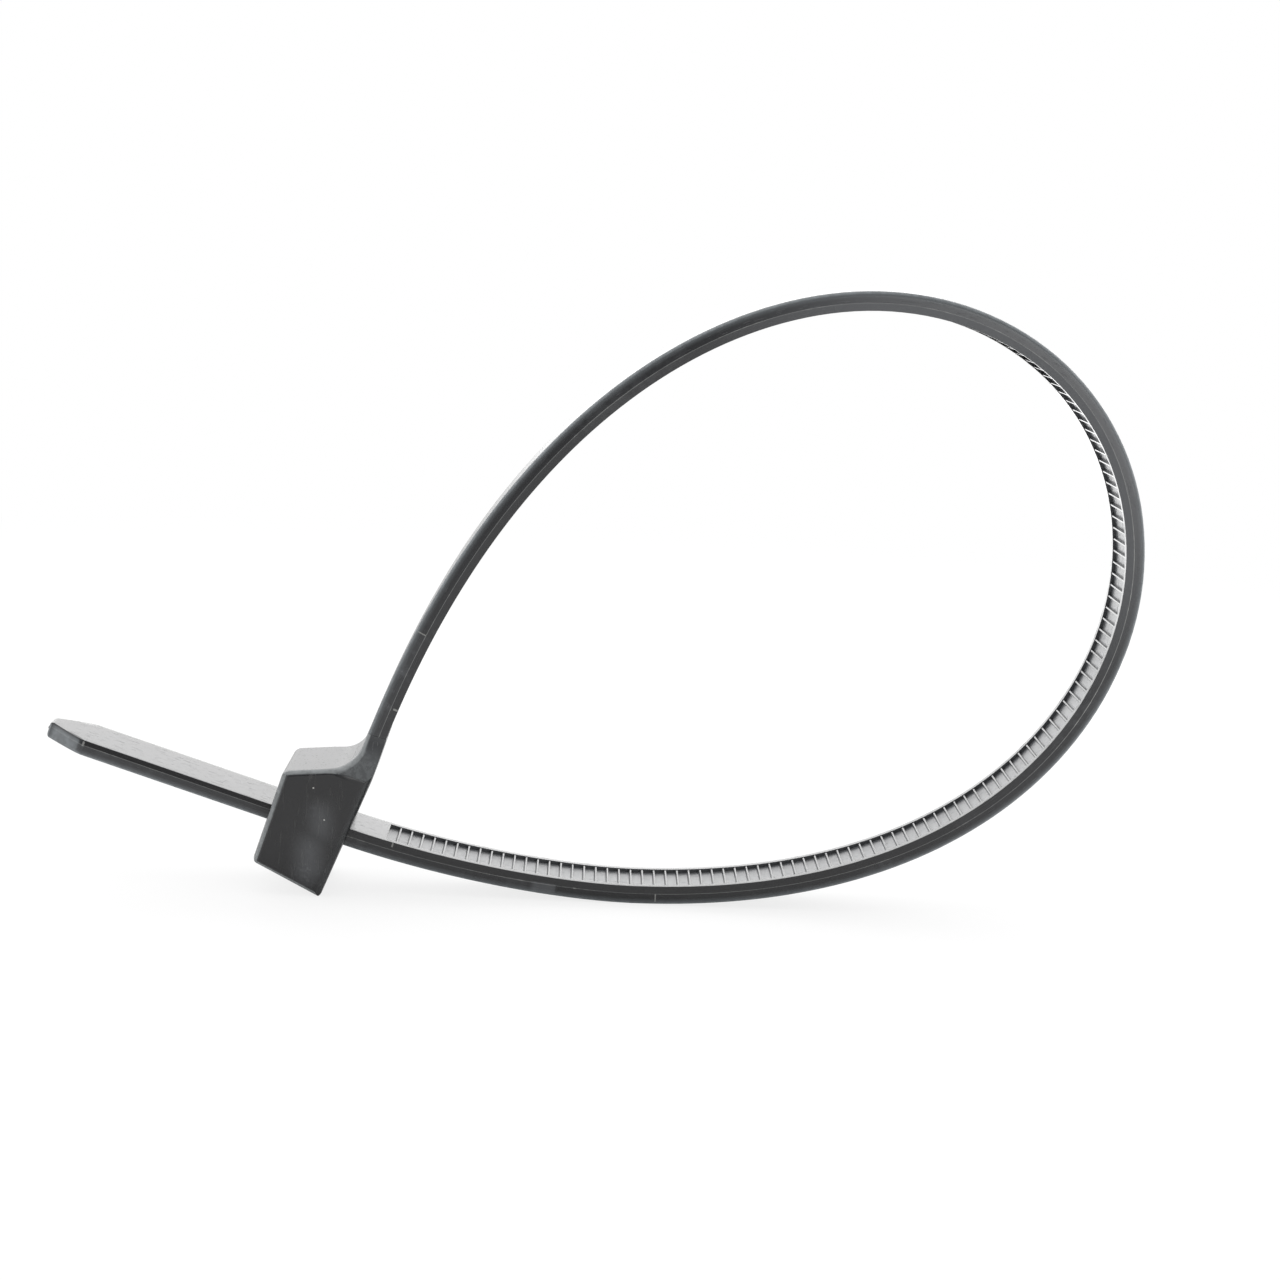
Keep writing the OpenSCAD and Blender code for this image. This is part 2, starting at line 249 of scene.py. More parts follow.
def in_mm(group):
    """The values of a group of properties, lengths in millimetres."""
    values = SimpleNamespace()
    for name, kind in group.bl_rna.properties.items():
        if name in ("name", "rna_type"):
            continue
        value = getattr(group, name)
        if getattr(kind, "unit", "NONE") == "LENGTH":
            value *= PER_METRE
        setattr(values, name, value)
    return values


# Flat geometry, in millimetres

def right_of(way):
    """A way turned a quarter turn clockwise."""
    return Vector((way.y, -way.x))


def meet(a, u, b, v):
    """Where the line through a along u meets the line through b along v."""
    return a + u * ((b - a).cross(v) / u.cross(v))


def half_angle(a, b, c):
    """Half of the angle at b between a and c."""
    return (a - b).angle(c - b) / 2


def corner_centre(a, b, c, radius):
    """Centre of the arc that rounds the corner b between a and c."""
    way = ((a - b).normalized() + (c - b).normalized()).normalized()
    return b + way * radius / math.sin(half_angle(a, b, c))


def arc(a, b, c, radius, steps):
    """Points of the arc that rounds the corner b, from the side of a to the side of c."""
    centre = corner_centre(a, b, c, radius)
    reach = radius / math.tan(half_angle(a, b, c))
    first = b + (a - b).normalized() * reach - centre
    last = b + (c - b).normalized() * reach - centre
    sweep = first.angle(last)
    return [
        centre + (first * math.sin(sweep * (1 - k / steps)) + last * math.sin(sweep * k / steps))
        / math.sin(sweep) for k in range(steps + 1)
    ]


def turned(place, tilt):
    """A place of the head's frame turned by the head's lean."""
    x, z = place
    return Vector((
        x * math.cos(tilt) + z * math.sin(tilt),
        z * math.cos(tilt) - x * math.sin(tilt),
    ))


def tie_plan(scene):
    """All places of the tie that more than one piece needs, seen from the side."""
    strap, head = in_mm(scene.tie_strap), in_mm(scene.tie_head)
    loop, tail = in_mm(scene.tie_loop), in_mm(scene.tie_tail)
    plan = SimpleNamespace(strap=strap, head=head, tail=tail)
    plan.foot = Vector((0, 0))
    plan.heel = Vector((-head.depth, head.depth * math.tan(head.underside)))
    plan.brow = Vector((-head.depth, head.outer_top))
    plan.neck_way = Vector((math.sin(head.neck_lean), math.cos(head.neck_lean)))
    neck_side = right_of(plan.neck_way) * (strap.thickness / 2 + head.neck_step)
    neck_centre = Vector((head.neck_offset, head.neck_top))
    plan.neck_outer = neck_centre - neck_side + plan.neck_way * OVERLAP
    plan.neck_inner = neck_centre + neck_side + plan.neck_way * OVERLAP
    plan.slope_way = Vector((math.cos(head.top_slope), math.sin(head.top_slope)))
    plan.neck_foot = meet(plan.brow, plan.slope_way, plan.neck_outer, plan.neck_way)
    flare_z = head.neck_top - head.neck_flare
    plan.face_top = Vector((flare_z * math.tan(head.inner_draft), flare_z))
    foot_centre = corner_centre(plan.heel, plan.foot, plan.face_top, head.foot_radius)
    plan.drop = turned(foot_centre, head.tilt).y - head.foot_radius

    def placed(x, z):
        return turned((x, z), head.tilt) - Vector((0, plan.drop))

    start = placed(*neck_centre)
    lean = head.tilt + head.neck_lean
    start_way = Vector((math.sin(lean), math.cos(lean)))
    top = Vector((loop.top_share * loop.reach, loop.height - strap.thickness / 2))
    side = Vector((loop.reach - strap.thickness / 2, loop.side_share * loop.height))
    low = Vector((loop.low_share * loop.reach, strap.thickness / 2))
    end = placed(-OVERLAP, head.slot_height)
    end_way = Vector((-math.cos(head.tilt), math.sin(head.tilt)))
    right, down, left = Vector((1, 0)), Vector((0, -1)), Vector((-1, 0))

    def bend(a, way_a, pull_a, b, way_b, pull_b):
        chord = (b - a).length
        return a, a + way_a * pull_a * chord, b - way_b * pull_b * chord, b

    plan.bends = [
        bend(start, start_way, loop.neck_pull, top, right, loop.top_pull_in),
        bend(top, right, loop.top_pull_out, side, down, loop.side_pull_in),
        bend(side, down, loop.side_pull_out, low, left, loop.low_pull_in),
        bend(low, left, loop.low_pull_out, end, end_way, loop.slot_pull),
    ]
    tail_run = head.depth + tail.length
    plan.straight = bend(end, end_way, 1 / 3, end + end_way * tail_run, end_way, 1 / 3)
    plan.run = 0
    for a, b, c, d in plan.bends:
        old = a
        for k in range(1, CURVE_STEPS + 1):
            w = k / CURVE_STEPS
            v = 1 - w
            new = a * v ** 3 + b * 3 * v * v * w + c * 3 * v * w * w + d * w ** 3
            plan.run += (new - old).length
            old = new
    plan.tail_end = -head.depth - tail.length
    tail_low = head.slot_height - strap.thickness / 2
    tip_centre = placed(plan.tail_end + tail.tip_radius, tail_low + tail.tip_radius)
    plan.centre_x = (tip_centre.x - tail.tip_radius + loop.reach) / 2
    plan.slot_low = head.slot_height - strap.thickness / 2 - head.slot_play
    plan.slot_high = head.slot_height + strap.thickness / 2 + head.slot_play
    plan.channel = strap.width - 2 * strap.rail
    plan.head_side = strap.width / 2 + head.cheek
    plan.pocket_width = plan.channel + head.slot_side_play
    return plan


# Hand tools

def take(piece):
    """Make a piece the only selected one and the active one."""
    if bpy.context.object and bpy.context.object.mode != "OBJECT":
        bpy.ops.object.mode_set(mode="OBJECT")
    bpy.ops.object.select_all(action="DESELECT")
    piece.select_set(True)
    bpy.context.view_layer.objects.active = piece


@contextmanager
def editing(piece):
    """Edit mode on one piece, with nothing selected."""
    take(piece)
    bpy.ops.object.mode_set(mode="EDIT")
    bpy.ops.mesh.select_all(action="DESELECT")
    yield
    bpy.ops.object.mode_set(mode="OBJECT")


def pick(piece, kind, test):
    """In edit mode, select the vertices, edges or faces that pass a test."""
    bpy.ops.mesh.select_all(action="DESELECT")
    bpy.ops.mesh.select_mode(type=kind)
    shape = bmesh.from_edit_mesh(piece.data)
    items = {"VERT": shape.verts, "EDGE": shape.edges, "FACE": shape.faces}[kind]
    items.index_update()
    found = [item for item in items if test(item)]
    if not found:
        raise RuntimeError(f"nothing to select on {piece.name}")
    for item in found:
        item.select_set(True)
    shape.select_flush_mode()
    bmesh.update_edit_mesh(piece.data)


def near(a, b):
    """True where two measures are the same."""
    return abs(a - b) < SAME_PLACE


def middle(item):
    """The middle of an edge or a face."""
    return sum((v.co for v in item.verts), Vector()) / len(item.verts)


def bevel(width, steps):
    """Round the edges that are selected."""
    bpy.ops.mesh.bevel(offset=width, segments=steps, affect="EDGES")


def slide(x=0.0, y=0.0, z=0.0):
    """Move what is selected."""
    bpy.ops.transform.translate(value=(x, y, z))


def widen(y=1.0, z=1.0, centre_z=0.0):
    """Resize what is selected in width and height."""
    bpy.ops.transform.resize(value=(1, y, z), center_override=(0, 0, centre_z))


def pull(x=0.0, z=0.0):
    """Extrude what is selected."""
    bpy.ops.mesh.extrude_region_move(TRANSFORM_OT_translate={"value": (x, 0, z)})


def cut(place, normal):
    """Cut what is selected along a plane."""
    bpy.ops.mesh.bisect(plane_co=place, plane_no=normal)


def weld_all():
    """Merge the vertices that lie in one place."""
    bpy.ops.mesh.select_all(action="SELECT")
    bpy.ops.mesh.remove_doubles(threshold=SAME_PLACE / 10)


def face_out(piece):
    """Turn all faces of a closed piece outwards."""
    with editing(piece):
        weld_all()
        bpy.ops.mesh.normals_make_consistent(inside=False)


def fix_place(piece):
    """Put a piece's place, turn and scale into its mesh."""
    take(piece)
    bpy.ops.object.transform_apply(location=True, rotation=True, scale=True)


def set_down(piece, turn, place=(0, 0, 0)):
    """Turn a piece and move it to its place."""
    piece.rotation_euler = turn
    piece.location = place
    fix_place(piece)


def modify(piece, kind, **settings):
    """Give a piece a modifier and apply it."""
    take(piece)
    modifier = piece.modifiers.new(kind, kind)
    for name, value in settings.items():
        setattr(modifier, name, value)
    bpy.ops.object.modifier_apply(modifier=modifier.name)


def add(operator, name, **settings):
    """Add an object with one of Blender's operators, and name it."""
    bpy.ops.object.select_all(action="DESELECT")
    operator(**settings)
    piece = bpy.context.object
    piece.name = piece.data.name = name
    return piece


def block(name, low, high):
    """A box between two corners, to be shaped."""
    low, high = Vector(low), Vector(high)
    piece = add(
        bpy.ops.mesh.primitive_cube_add, name,
        size=1, location=(low + high) / 2, scale=high - low)
    fix_place(piece)
    return piece


def prism(name, outline, depth, turn):
    """A flat disc pulled to an outline and extruded evenly to both sides, then turned."""
    piece = add(
        bpy.ops.mesh.primitive_circle_add, name,
        vertices=len(outline), radius=1, fill_type="NGON")
    with editing(piece):
        for k, (x, y) in enumerate(outline):
            shape = bmesh.from_edit_mesh(piece.data)
            shape.verts.ensure_lookup_table()
            old = shape.verts[k].co.copy()
            pick(piece, "VERT", lambda v: v.index == k)
            slide(x - old.x, y - old.y, -depth / 2)
        bpy.ops.mesh.select_all(action="SELECT")
        pull(z=depth)
    set_down(piece, turn)
    face_out(piece)
    return piece


def combine(piece, tool, operation):
    """Join, cut or intersect a piece with a tool, which is used up."""
    modify(
        piece, "BOOLEAN", operation=operation, solver="EXACT", material_mode="TRANSFER",
        object=tool)
    bpy.data.objects.remove(tool, do_unlink=True)
    if not piece.data.polygons:
        raise RuntimeError(f"{piece.name} has no faces left after {operation}")


def round_corner(piece, corner, before, after, radius, steps):
    """Round the long edge that stands at a corner of a prism seen from the side."""
    def at_corner(edge):
        return all(near(v.co.x, corner.x) and near(v.co.z, corner.y) for v in edge.verts)

    with editing(piece):
        pick(piece, "EDGE", at_corner)
        bevel(radius / math.tan(half_angle(before, corner, after)), steps)


# Strap and tail

def tooth_cell(plan):
    """One tooth of the flat strap with its gap, open at both ends, inner face up."""
    strap = plan.strap
    half, side, rail = strap.thickness / 2, strap.width / 2, plan.channel / 2
    start, end = plan.teeth_start, plan.teeth_start + strap.pitch
    behind_crest = start + strap.crest
    cell = block("tooth", (start, -side, -half), (end, side, half))
    parting = half - strap.parting * strap.thickness
    ridge = 2 * strap.flash

    def long_edge(z):
        return lambda e: (near(abs(middle(e).y), side)
                          and all(near(abs(v.co.y), side) and near(v.co.z, z) for v in e.verts))

    def between_rails(face):
        return face.normal.z > FACING and near(middle(face).y, 0)

    def narrow(amount, test):
        pick(cell, "VERT", test)
        widen(1 - amount / side)

    with editing(cell):
        pick(cell, "EDGE", long_edge(-half))
        bevel(strap.outer_radius, OUTER_STEPS)
        pick(cell, "EDGE", long_edge(half))
        bevel(strap.inner_bevel, INNER_STEPS)
        for z in (parting - ridge, parting, parting + ridge):
            bpy.ops.mesh.select_all(action="SELECT")
            cut((0, 0, z), (0, 0, 1))
        narrow(strap.flash, lambda v: abs(v.co.z - parting) > ridge / 2)
        narrow(strap.draft, lambda v: v.co.z > half - 2 * strap.inner_bevel)
        narrow(strap.draft, lambda v: v.co.z < strap.outer_radius - half + SAME_PLACE)
        for y in (-rail, rail):
            pick(cell, "FACE", lambda f: f.normal.z > FACING)
            cut((0, y, 0), (0, 1, 0))
        pick(cell, "FACE", between_rails)
        pull(z=-strap.crest_drop)
        cut((behind_crest, 0, 0), (1, 0, 0))
        pick(cell, "FACE", lambda f: between_rails(f) and middle(f).x > behind_crest)
        pull(z=strap.crest_drop - strap.depth)
        pick(cell, "VERT", lambda v: near(v.co.x, behind_crest)
             and near(v.co.z, half - strap.depth) and abs(v.co.y) < rail + SAME_PLACE)
        slide(x=strap.ramp, z=strap.floor_rise)
        wall_z = half - (strap.depth + strap.crest_drop) / 2
        pick(cell, "FACE", lambda f: abs(f.normal.x) > FACING and (
            near(middle(f).x, start)
            or near(middle(f).x, end) and not near(middle(f).z, wall_z)))
        bpy.ops.mesh.delete(type="FACE")
    return cell


def open_end(piece, x):
    """Select the open end of the strap at x."""
    pick(piece, "EDGE", lambda e: e.is_boundary and all(near(v.co.x, x) for v in e.verts))


def lengthen(piece, x, reach, steps=1):
    """Pull the open end of the strap at x further, in equal steps."""
    for k in range(steps):
        open_end(piece, x + k * reach / steps)
        pull(x=reach / steps)


def close_channel(piece, plan, x):
    """Lift the open end of the channel at x to the level of the rails."""
    strap = plan.strap
    notch = strap.thickness / 2 - strap.crest_drop
    open_end(piece, x)
    pull()
    shape = bmesh.from_edit_mesh(piece.data)
    shape.verts.index_update()
    new = {v.index for v in shape.verts if v.select}
    pick(piece, "VERT", lambda v: v.index in new and near(v.co.z, notch)
         and near(abs(v.co.y), plan.channel / 2))
    slide(z=strap.crest_drop)
    weld_all()


def flat_strap(plan):
    """The tie's strap and tail as they lie flat, inner face up, from the neck at X = 0."""
    strap, head, tail = plan.strap, plan.head, plan.tail
    plan.teeth_end = plan.run - strap.plain_at_slot - OVERLAP
    count = math.floor((plan.teeth_end - strap.plain_at_neck) / strap.pitch)
    plan.teeth_start = plan.teeth_end - count * strap.pitch
    piece = tooth_cell(plan)
    modify(
        piece, "ARRAY", use_relative_offset=False, use_constant_offset=True,
        constant_offset_displace=(strap.pitch, 0, 0), count=count,
        use_merge_vertices=True, merge_threshold=SAME_PLACE / 10)
    in_head = plan.run - OVERLAP
    thin_start, thin_end = (in_head + part * head.depth for part in THINNING)
    tip_end = in_head - plan.tail_end
    tip_start = tip_end - tail.tip
    with editing(piece):
        # towards the neck
        close_channel(piece, plan, plan.teeth_start)
        lengthen(piece, plan.teeth_start, -plan.teeth_start - OVERLAP, PLAIN_STEPS)
        open_end(piece, -OVERLAP)
        bpy.ops.mesh.edge_face_add()
        # towards the slot, through it and to the tip
        close_channel(piece, plan, plan.teeth_end)
        lengthen(piece, plan.teeth_end, plan.run - plan.teeth_end, PLAIN_STEPS)
        lengthen(piece, plan.run, thin_start - plan.run)
        lengthen(piece, thin_start, thin_end - thin_start)
        pick(piece, "VERT", lambda v: near(v.co.x, thin_end)
             and v.co.z > strap.thickness / 2 - 2 * strap.inner_bevel)
        slide(z=tail.thickness - strap.thickness)
        lengthen(piece, thin_end, tip_start - thin_end)
        shape_tip(piece, plan, tip_start, tip_end)
    face_out(piece)
    return piece


def shape_tip(piece, plan, start, end):
    """Narrow the tip in steps, round its nose, and leave the small nub of the mould on it."""
    strap, tail = plan.strap, plan.tail
    side, slim = strap.width / 2, tail.tip_width / 2
    centre_z = (tail.thickness - strap.thickness) / 2
    nose = end - tail.tip_radius
    sections = []
    for k in range(1, TIP_STEPS + 1):
        way = k / TIP_STEPS * (nose - start) / (end - start)
        width = side - (side - slim) * way ** tail.tip_bend
        sections.append((start + (end - start) * way, width, 1))
    last_width = sections[-1][1]
    for k in range(1, NOSE_STEPS + 1):
        turn = math.pi / 2 * k / NOSE_STEPS
        drop = tail.tip_radius * (1 - math.cos(turn))
        sections.append((nose + tail.tip_radius * math.sin(turn), last_width - drop,
                         1 - 2 * drop / tail.thickness))
    x, width, height = start, side, 1
    for new_x, new_width, new_height in sections:
        lengthen(piece, x, new_x - x)
        widen(new_width / width, new_height / height, centre_z)
        x, width, height = new_x, new_width, new_height
    open_end(piece, end)
    bpy.ops.mesh.edge_face_add()
    pull()
    widen(*NUB_SHARES, centre_z + strap.flash)
    pull(x=tail.nub)


def keep_run(piece):
    """Keep each point's run along the flat strap, and its height, as a UV map in metres."""
    while piece.data.uv_layers:
        piece.data.uv_layers.remove(piece.data.uv_layers[0])
    layer = piece.data.uv_layers.new(name=RUN_MAP)
    for corner in piece.data.loops:
        place = piece.data.vertices[corner.vertex_index].co
        layer.data[corner.index].uv = (mm(place.x), mm(place.z))


def loop_curve(plan):
    """The middle line of the loop and the tail, lying flat."""
    spans = [*plan.bends, plan.straight]
    curve = add(bpy.ops.curve.primitive_bezier_curve_add, "middle line", location=(0, 0, 0))
    curve.data.dimensions = "2D"
    curve.data.resolution_u = CURVE_STEPS
    points = curve.data.splines[0].bezier_points
    points.add(len(spans) + 1 - len(points))
    for k, point in enumerate(points):
        before = spans[k - 1] if k > 0 else None
        after = spans[k] if k < len(spans) else None
        place = after[0] if after else before[3]
        point.handle_left_type = point.handle_right_type = "FREE"
        point.co = (*place, 0)
        point.handle_right = (*(after[1] if after else 2 * place - before[2]), 0)
        point.handle_left = (*(before[2] if before else 2 * place - after[1]), 0)
    return curve


def bend_strap(piece, plan):
    """Bend the flat strap along the loop, and stand it up."""
    set_down(piece, SIDE_ON)
    curve = loop_curve(plan)
    modify(piece, "CURVE", object=curve, deform_axis="POS_X")
    bpy.data.objects.remove(curve, do_unlink=True)
    set_down(piece, SIDE_ON, (-plan.centre_x, 0, 0))


class TIE_OT_strap(Operator):
    """Model the toothed strap and the tail, flat first, then bent to the loop"""

    bl_idname = "tie.strap"
    bl_label = "Strap and Tail"

    def execute(self, context):
        plan = tie_plan(context.scene)
        piece = flat_strap(plan)
        piece.name = piece.data.name = "strap"
        keep_run(piece)
        bend_strap(piece, plan)
        piece.data.materials.append(strap_nylon(context.scene, plan))
        return {"FINISHED"}


# Head and pawl

def edge_bar(plan, radius, turn, place=(0, 0, 0)):
    """A long bar as wide as the head whose face at X = 0 has two rounded edges."""
    side = plan.head_side
    far = plan.head.depth + plan.head.neck_top
    outline = [(0, -side), (far, -side), (far, side), (0, side)]
    bar = prism("bar", outline, 2 * far, UPRIGHT)
    with editing(bar):
        pick(bar, "EDGE", lambda e: all(near(v.co.x, 0) for v in e.verts)
             and not near(e.verts[0].co.z, e.verts[1].co.z))
        bevel(radius, EDGE_STEPS)
    set_down(bar, turn, place)
    return bar


def head_block(plan):
    """The head with its neck, still without the slot."""
    head = plan.head
    outline = [
        plan.foot, plan.heel, plan.brow, plan.neck_foot,
        plan.neck_outer, plan.neck_inner, plan.face_top,
    ]
    piece = prism("head", outline, 2 * plan.head_side + 2, SIDE_ON)
    round_corner(piece, plan.foot, plan.face_top, plan.heel, head.foot_radius, FOOT_STEPS)
    round_corner(piece, plan.heel, plan.foot, plan.brow, head.outer_radius, EDGE_STEPS)
    round_corner(piece, plan.brow, plan.heel, plan.neck_foot, head.outer_radius, EDGE_STEPS)
    round_corner(
        piece, plan.neck_foot, plan.brow, plan.neck_outer, head.neck_fillet, FILLET_STEPS)
    neck_side = plan.strap.width / 2 + head.neck_step
    spread = plan.head_side - neck_side
    flare = []
    for k in range(FLARE_STEPS + 1):
        narrowing = math.sin(math.pi / 2 * k / FLARE_STEPS)
        z = plan.face_top.y + head.neck_flare * k / FLARE_STEPS
        flare.append(Vector((neck_side + spread * (1 - narrowing), z)))
    low = Vector((plan.head_side, -BEYOND))
    shoulder = arc(low, flare[0], flare[1], head.shoulder_radius, SHOULDER_STEPS)
    right = [low, *shoulder, *flare[1:]]
    left = [Vector((-y, z)) for y, z in reversed(right)]
    front = prism("front", right + left, 2 * head.depth + 4 * BEYOND, END_ON)
    combine(piece, front, "INTERSECT")
    soften_rims(piece, plan)
    quarter = math.pi / 2
    for bar in (
        (head.outer_radius, UPRIGHT, (-head.depth, 0, 0)),
        (head.low_radius, (0, head.underside - quarter, 0)),
        (head.inner_radius, (0, -head.inner_draft, 2 * quarter)),
    ):
        combine(piece, edge_bar(plan, *bar), "INTERSECT")
    return piece


def soften_rims(piece, plan):
    """Round the edges that run up both sides of the outer face, the top and the neck."""
    end_z = plan.neck_outer.y - OVERLAP / 2

    def on_rim(edge):
        faces = sorted(edge.link_faces, key=lambda f: abs(f.normal.y))
        if len(faces) != 2 or max(v.co.z for v in edge.verts) > end_z + OVERLAP:
            return False
        flat, cheek = faces
        return (abs(flat.normal.y) < RIM_FLAT and abs(cheek.normal.y) > RIM_CHEEK
                and flat.normal.x < RIM_OUT and flat.normal.z > RIM_UP)

    with editing(piece):
        weld_all()
        pick(piece, "EDGE", on_rim)
        bevel(plan.head.rim_radius, RIM_STEPS)


def cut_slot(piece, plan):
    """Cut the slot and the pawl's pocket through the head."""
    head = plan.head
    slot_side = plan.strap.width / 2 + head.slot_side_play
    pocket_side = plan.pocket_width / 2
    pocket_top = plan.slot_high + head.pocket
    outside = -head.depth - BEYOND
    combine(piece, block(
        "slot", (outside, -slot_side, plan.slot_low), (BEYOND, slot_side, plan.slot_high),
    ), "DIFFERENCE")
    combine(piece, block(
        "pocket", (outside, -pocket_side, plan.slot_high - OVERLAP),
        (-head.hinge_wall, pocket_side, pocket_top),
    ), "DIFFERENCE")
    way_in = Vector((math.cos(head.inner_draft), 0, -math.sin(head.inner_draft)))

    def at_mouth(edge):
        return all(
            (near(v.co.x, -head.depth) or near(v.co.dot(way_in), 0))
            and abs(v.co.y) < slot_side + SAME_PLACE
            and plan.slot_low - SAME_PLACE < v.co.z < pocket_top + SAME_PLACE for v in edge.verts
        )

    with editing(piece):
        pick(piece, "EDGE", at_mouth)
        bevel(head.mouth, MOUTH_STEPS)


def pawl_tongue(plan):
    """The pawl: a tongue from the wall on the loop side, with small teeth over the strap."""
    head = plan.head
    tip_z = head.slot_height + plan.strap.thickness / 2 + head.pawl_gap
    web_z = tip_z + head.pawl_tooth
    root_top = plan.slot_high + head.pocket - head.pawl_side_play
    root_x = -head.hinge_wall
    end_x = root_x - head.pawl_length
    step = head.pawl_run / head.pawl_teeth
    outline = [
        (root_x + OVERLAP, root_top),
        (root_x + OVERLAP, root_top - head.pawl_root),
        (end_x + head.pawl_run, web_z),
    ]
    for k in range(head.pawl_teeth):
        x = end_x + head.pawl_run - k * step
        last = k == head.pawl_teeth - 1
        outline += [(x - PAWL_TOOTH_LOW * step, tip_z), (x - step, tip_z if last else web_z)]
    outline.append((end_x, tip_z + head.pawl_end))
    width = plan.pocket_width - 2 * head.pawl_side_play
    return prism("pawl", outline, width, SIDE_ON)


class TIE_OT_head(Operator):
    """Model the head with its neck, its slot and the pawl in its pocket"""

    bl_idname = "tie.head"
    bl_label = "Head and Pawl"

    def execute(self, context):
        plan = tie_plan(context.scene)
        piece = head_block(plan)
        cut_slot(piece, plan)
        combine(piece, pawl_tongue(plan), "UNION")
        set_down(piece, (0, plan.head.tilt, 0), (-plan.centre_x, 0, -plan.drop))
        piece.data.materials.clear()
        piece.data.materials.append(head_nylon(context.scene))
        return {"FINISHED"}


class TIE_OT_join(Operator):
    """Join the strap and the head to one moulding that stands for the CAD node"""

    bl_idname = "tie.join"
    bl_label = "One Moulding"

    def execute(self, context):
        strap = bpy.data.objects["strap"]
        combine(strap, bpy.data.objects["head"], "UNION")
        strap.scale = (mm(1),) * 3
        fix_place(strap)
        take(strap)
        bpy.ops.object.shade_smooth_by_angle(angle=SMOOTH_ANGLE)
        modify(strap, "WEIGHTED_NORMAL", keep_sharp=True)
        strap.name = strap.data.name = "moulding"
        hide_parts(NODE)
        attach(strap, "root")
        return {"FINISHED"}


# Materials

# How dull full bloom is, as a share of what wear does
BLOOM_DULL = 0.5

# Inputs of the patch effect after the two places
PATCH_SIZES = ("From", "To", "Low", "High", "Soft", "Soft across")

# Faces count as turned out while this much of their normal lies along Y
SIDEWAYS = (0.5, 0.85)

# Millimetres from the strap's side, and heights over its middle, over which masks change
EDGE_INSET = (0.3, 0.2)
RIM_HEIGHTS, ROLLED_HEIGHTS, WALL_HEIGHTS = (0.3, 0.7), (-0.2, -0.9), (0.0, 0.3)

# Low sides of the smooth patch, the scuffs after it and the patch of the neck, and how soft
# these and the small marks are along and across
PATCH_LOW, SCUFF_LOW, NECK_LOW, MARK_LOW = -0.55, -0.8, -0.9, -0.7
PATCH_SOFT, SCUFF_SOFT, NECK_SOFT, MARK_SOFT = (0.08, 0.12), (0.9, 0.2), (0.06, 0.1), (0.05, 0.06)
SCUFF_LENGTH = 2.6

# Half the width of the parting line's painted highlight band, and how soft it is
LINE_HALF, LINE_SOFT = 0.04, (0.02, 0.02)

# Runs along the strap, in millimetres from the neck, over which its finish and its painted light
# change
BY_SLOT = (190, 205)
TOP_RISE, TOP_FALL = (45, 75), (137, 112)
RIGHT_RISE, RIGHT_FALL = (90, 110), (150, 130)
UPPER_FALL = (165, 140)
# Where the painted fill light in the channel sets in along the loop
CHANNEL_FILL_RISE = (85, 100)

# Bloom on the strap, and painted fill light in the channel, least and most in the clouds or from
# one end of a mask to the other
OUTER_BLOOM = (0.03, 0.2)
INNER_BLOOM = (0.12, 0.28)
TOP_BLOOM = (0.75, 0.55)
NECK_BLOOM = (0.25, 0.7)
# Painted fill light that lifts the shade in the channel, and the share of it left on the crests
CHANNEL_PAINTED_FILL = (0.0, 0.8)
CREST_FILL_SHARE = (1.0, 0.2)
END_BLOOM = 0.06
SCUFF_BLOOM = 0.6
FACE_BLOOM = 0.1

# Wear on the strap's edges, paled further into a painted rim highlight, and light marks, some of
# them painted highlights
# Painted highlight growing towards the rolled outer rim
ROLLED_SHEEN = 0.5
TIP_WEAR = 0.1
# Share of the painted rim highlight kept on the inner rims
INNER_RIM_SHEEN = 0.2
# Painted highlight on the parting line, and how much stronger it is painted on the right of the
# loop
LINE_PAINTED_HIGHLIGHT = (0.14, 0.3)
LINE_HIGHLIGHT_ON_RIGHT = 1.8
MARK_LIGHT = 0.4
# Painted highlight on the flat crests of the teeth
CREST_PAINTED_HIGHLIGHT = 0.5
SPECK_LIGHT = 0.3

# Small marks of the mould on the strap's edge faces: run from and to, height from and to
TICK_AFTER_NECK = (3.3, 3.5, 0.45, 0.95)
TICK_AT_TEETH_END = (211.45, 211.6, 0.5, 0.95)
NICK_IN_PATCH = (191.6, 191.9, -0.05, 0.06)
NICK_PAST_PATCH = (197.3, 197.8, -0.04, 0.04)

# Clouds and bright specks on the sides of the head: X from and to, Z from and to
HEAD_CLOUDS = ((-28.2, -26.6, 6.2, 9.8), (-29.6, -27.4, 1.8, 6.4))
HEAD_SPECKS = ((-28.3, -28.16, 11.64, 11.78), (-27.1, -26.96, 8.27, 8.41))
CLOUD_SOFT, SPECK_SOFT = 3.0, 0.06
# Y over which the bright specks end, and Z over which the neck gets pale
NEAR_SIDE, NECK_RISE = (-5, -4), (12.5, 16.5)
HEAD_CLOUD_BLOOM = (0.6, 1.2)
HEAD_BLOOM = 0.05
NECK_PALE = 0.4
TOP_DULL = 0.45
# Painted shade: share of the painted rim highlight left on faces turned to the loop
LOOP_SIDE_SHEEN = 0.08
HEAD_DUST_LIGHT = 0.18
HEAD_SCRATCH_LIGHT = 0.04
# Painted highlight on the head's worn rims
HEAD_RIM_PAINTED_HIGHLIGHT = 0.18


def fill(tree, node, sockets):
    """Fill a node's sockets with values or other nodes' outputs."""
    for key, value in sockets.items():
        if isinstance(value, bpy.types.NodeSocket):
            tree.links.new(value, node.inputs[key])
        else:
            node.inputs[key].default_value = value


def put(tree, kind, sockets, **settings):
    """Add a node with its settings, and fill its sockets."""
    node = tree.nodes.new(kind)
    for name, value in settings.items():
        setattr(node, name, value)
    fill(tree, node, sockets)
    return node


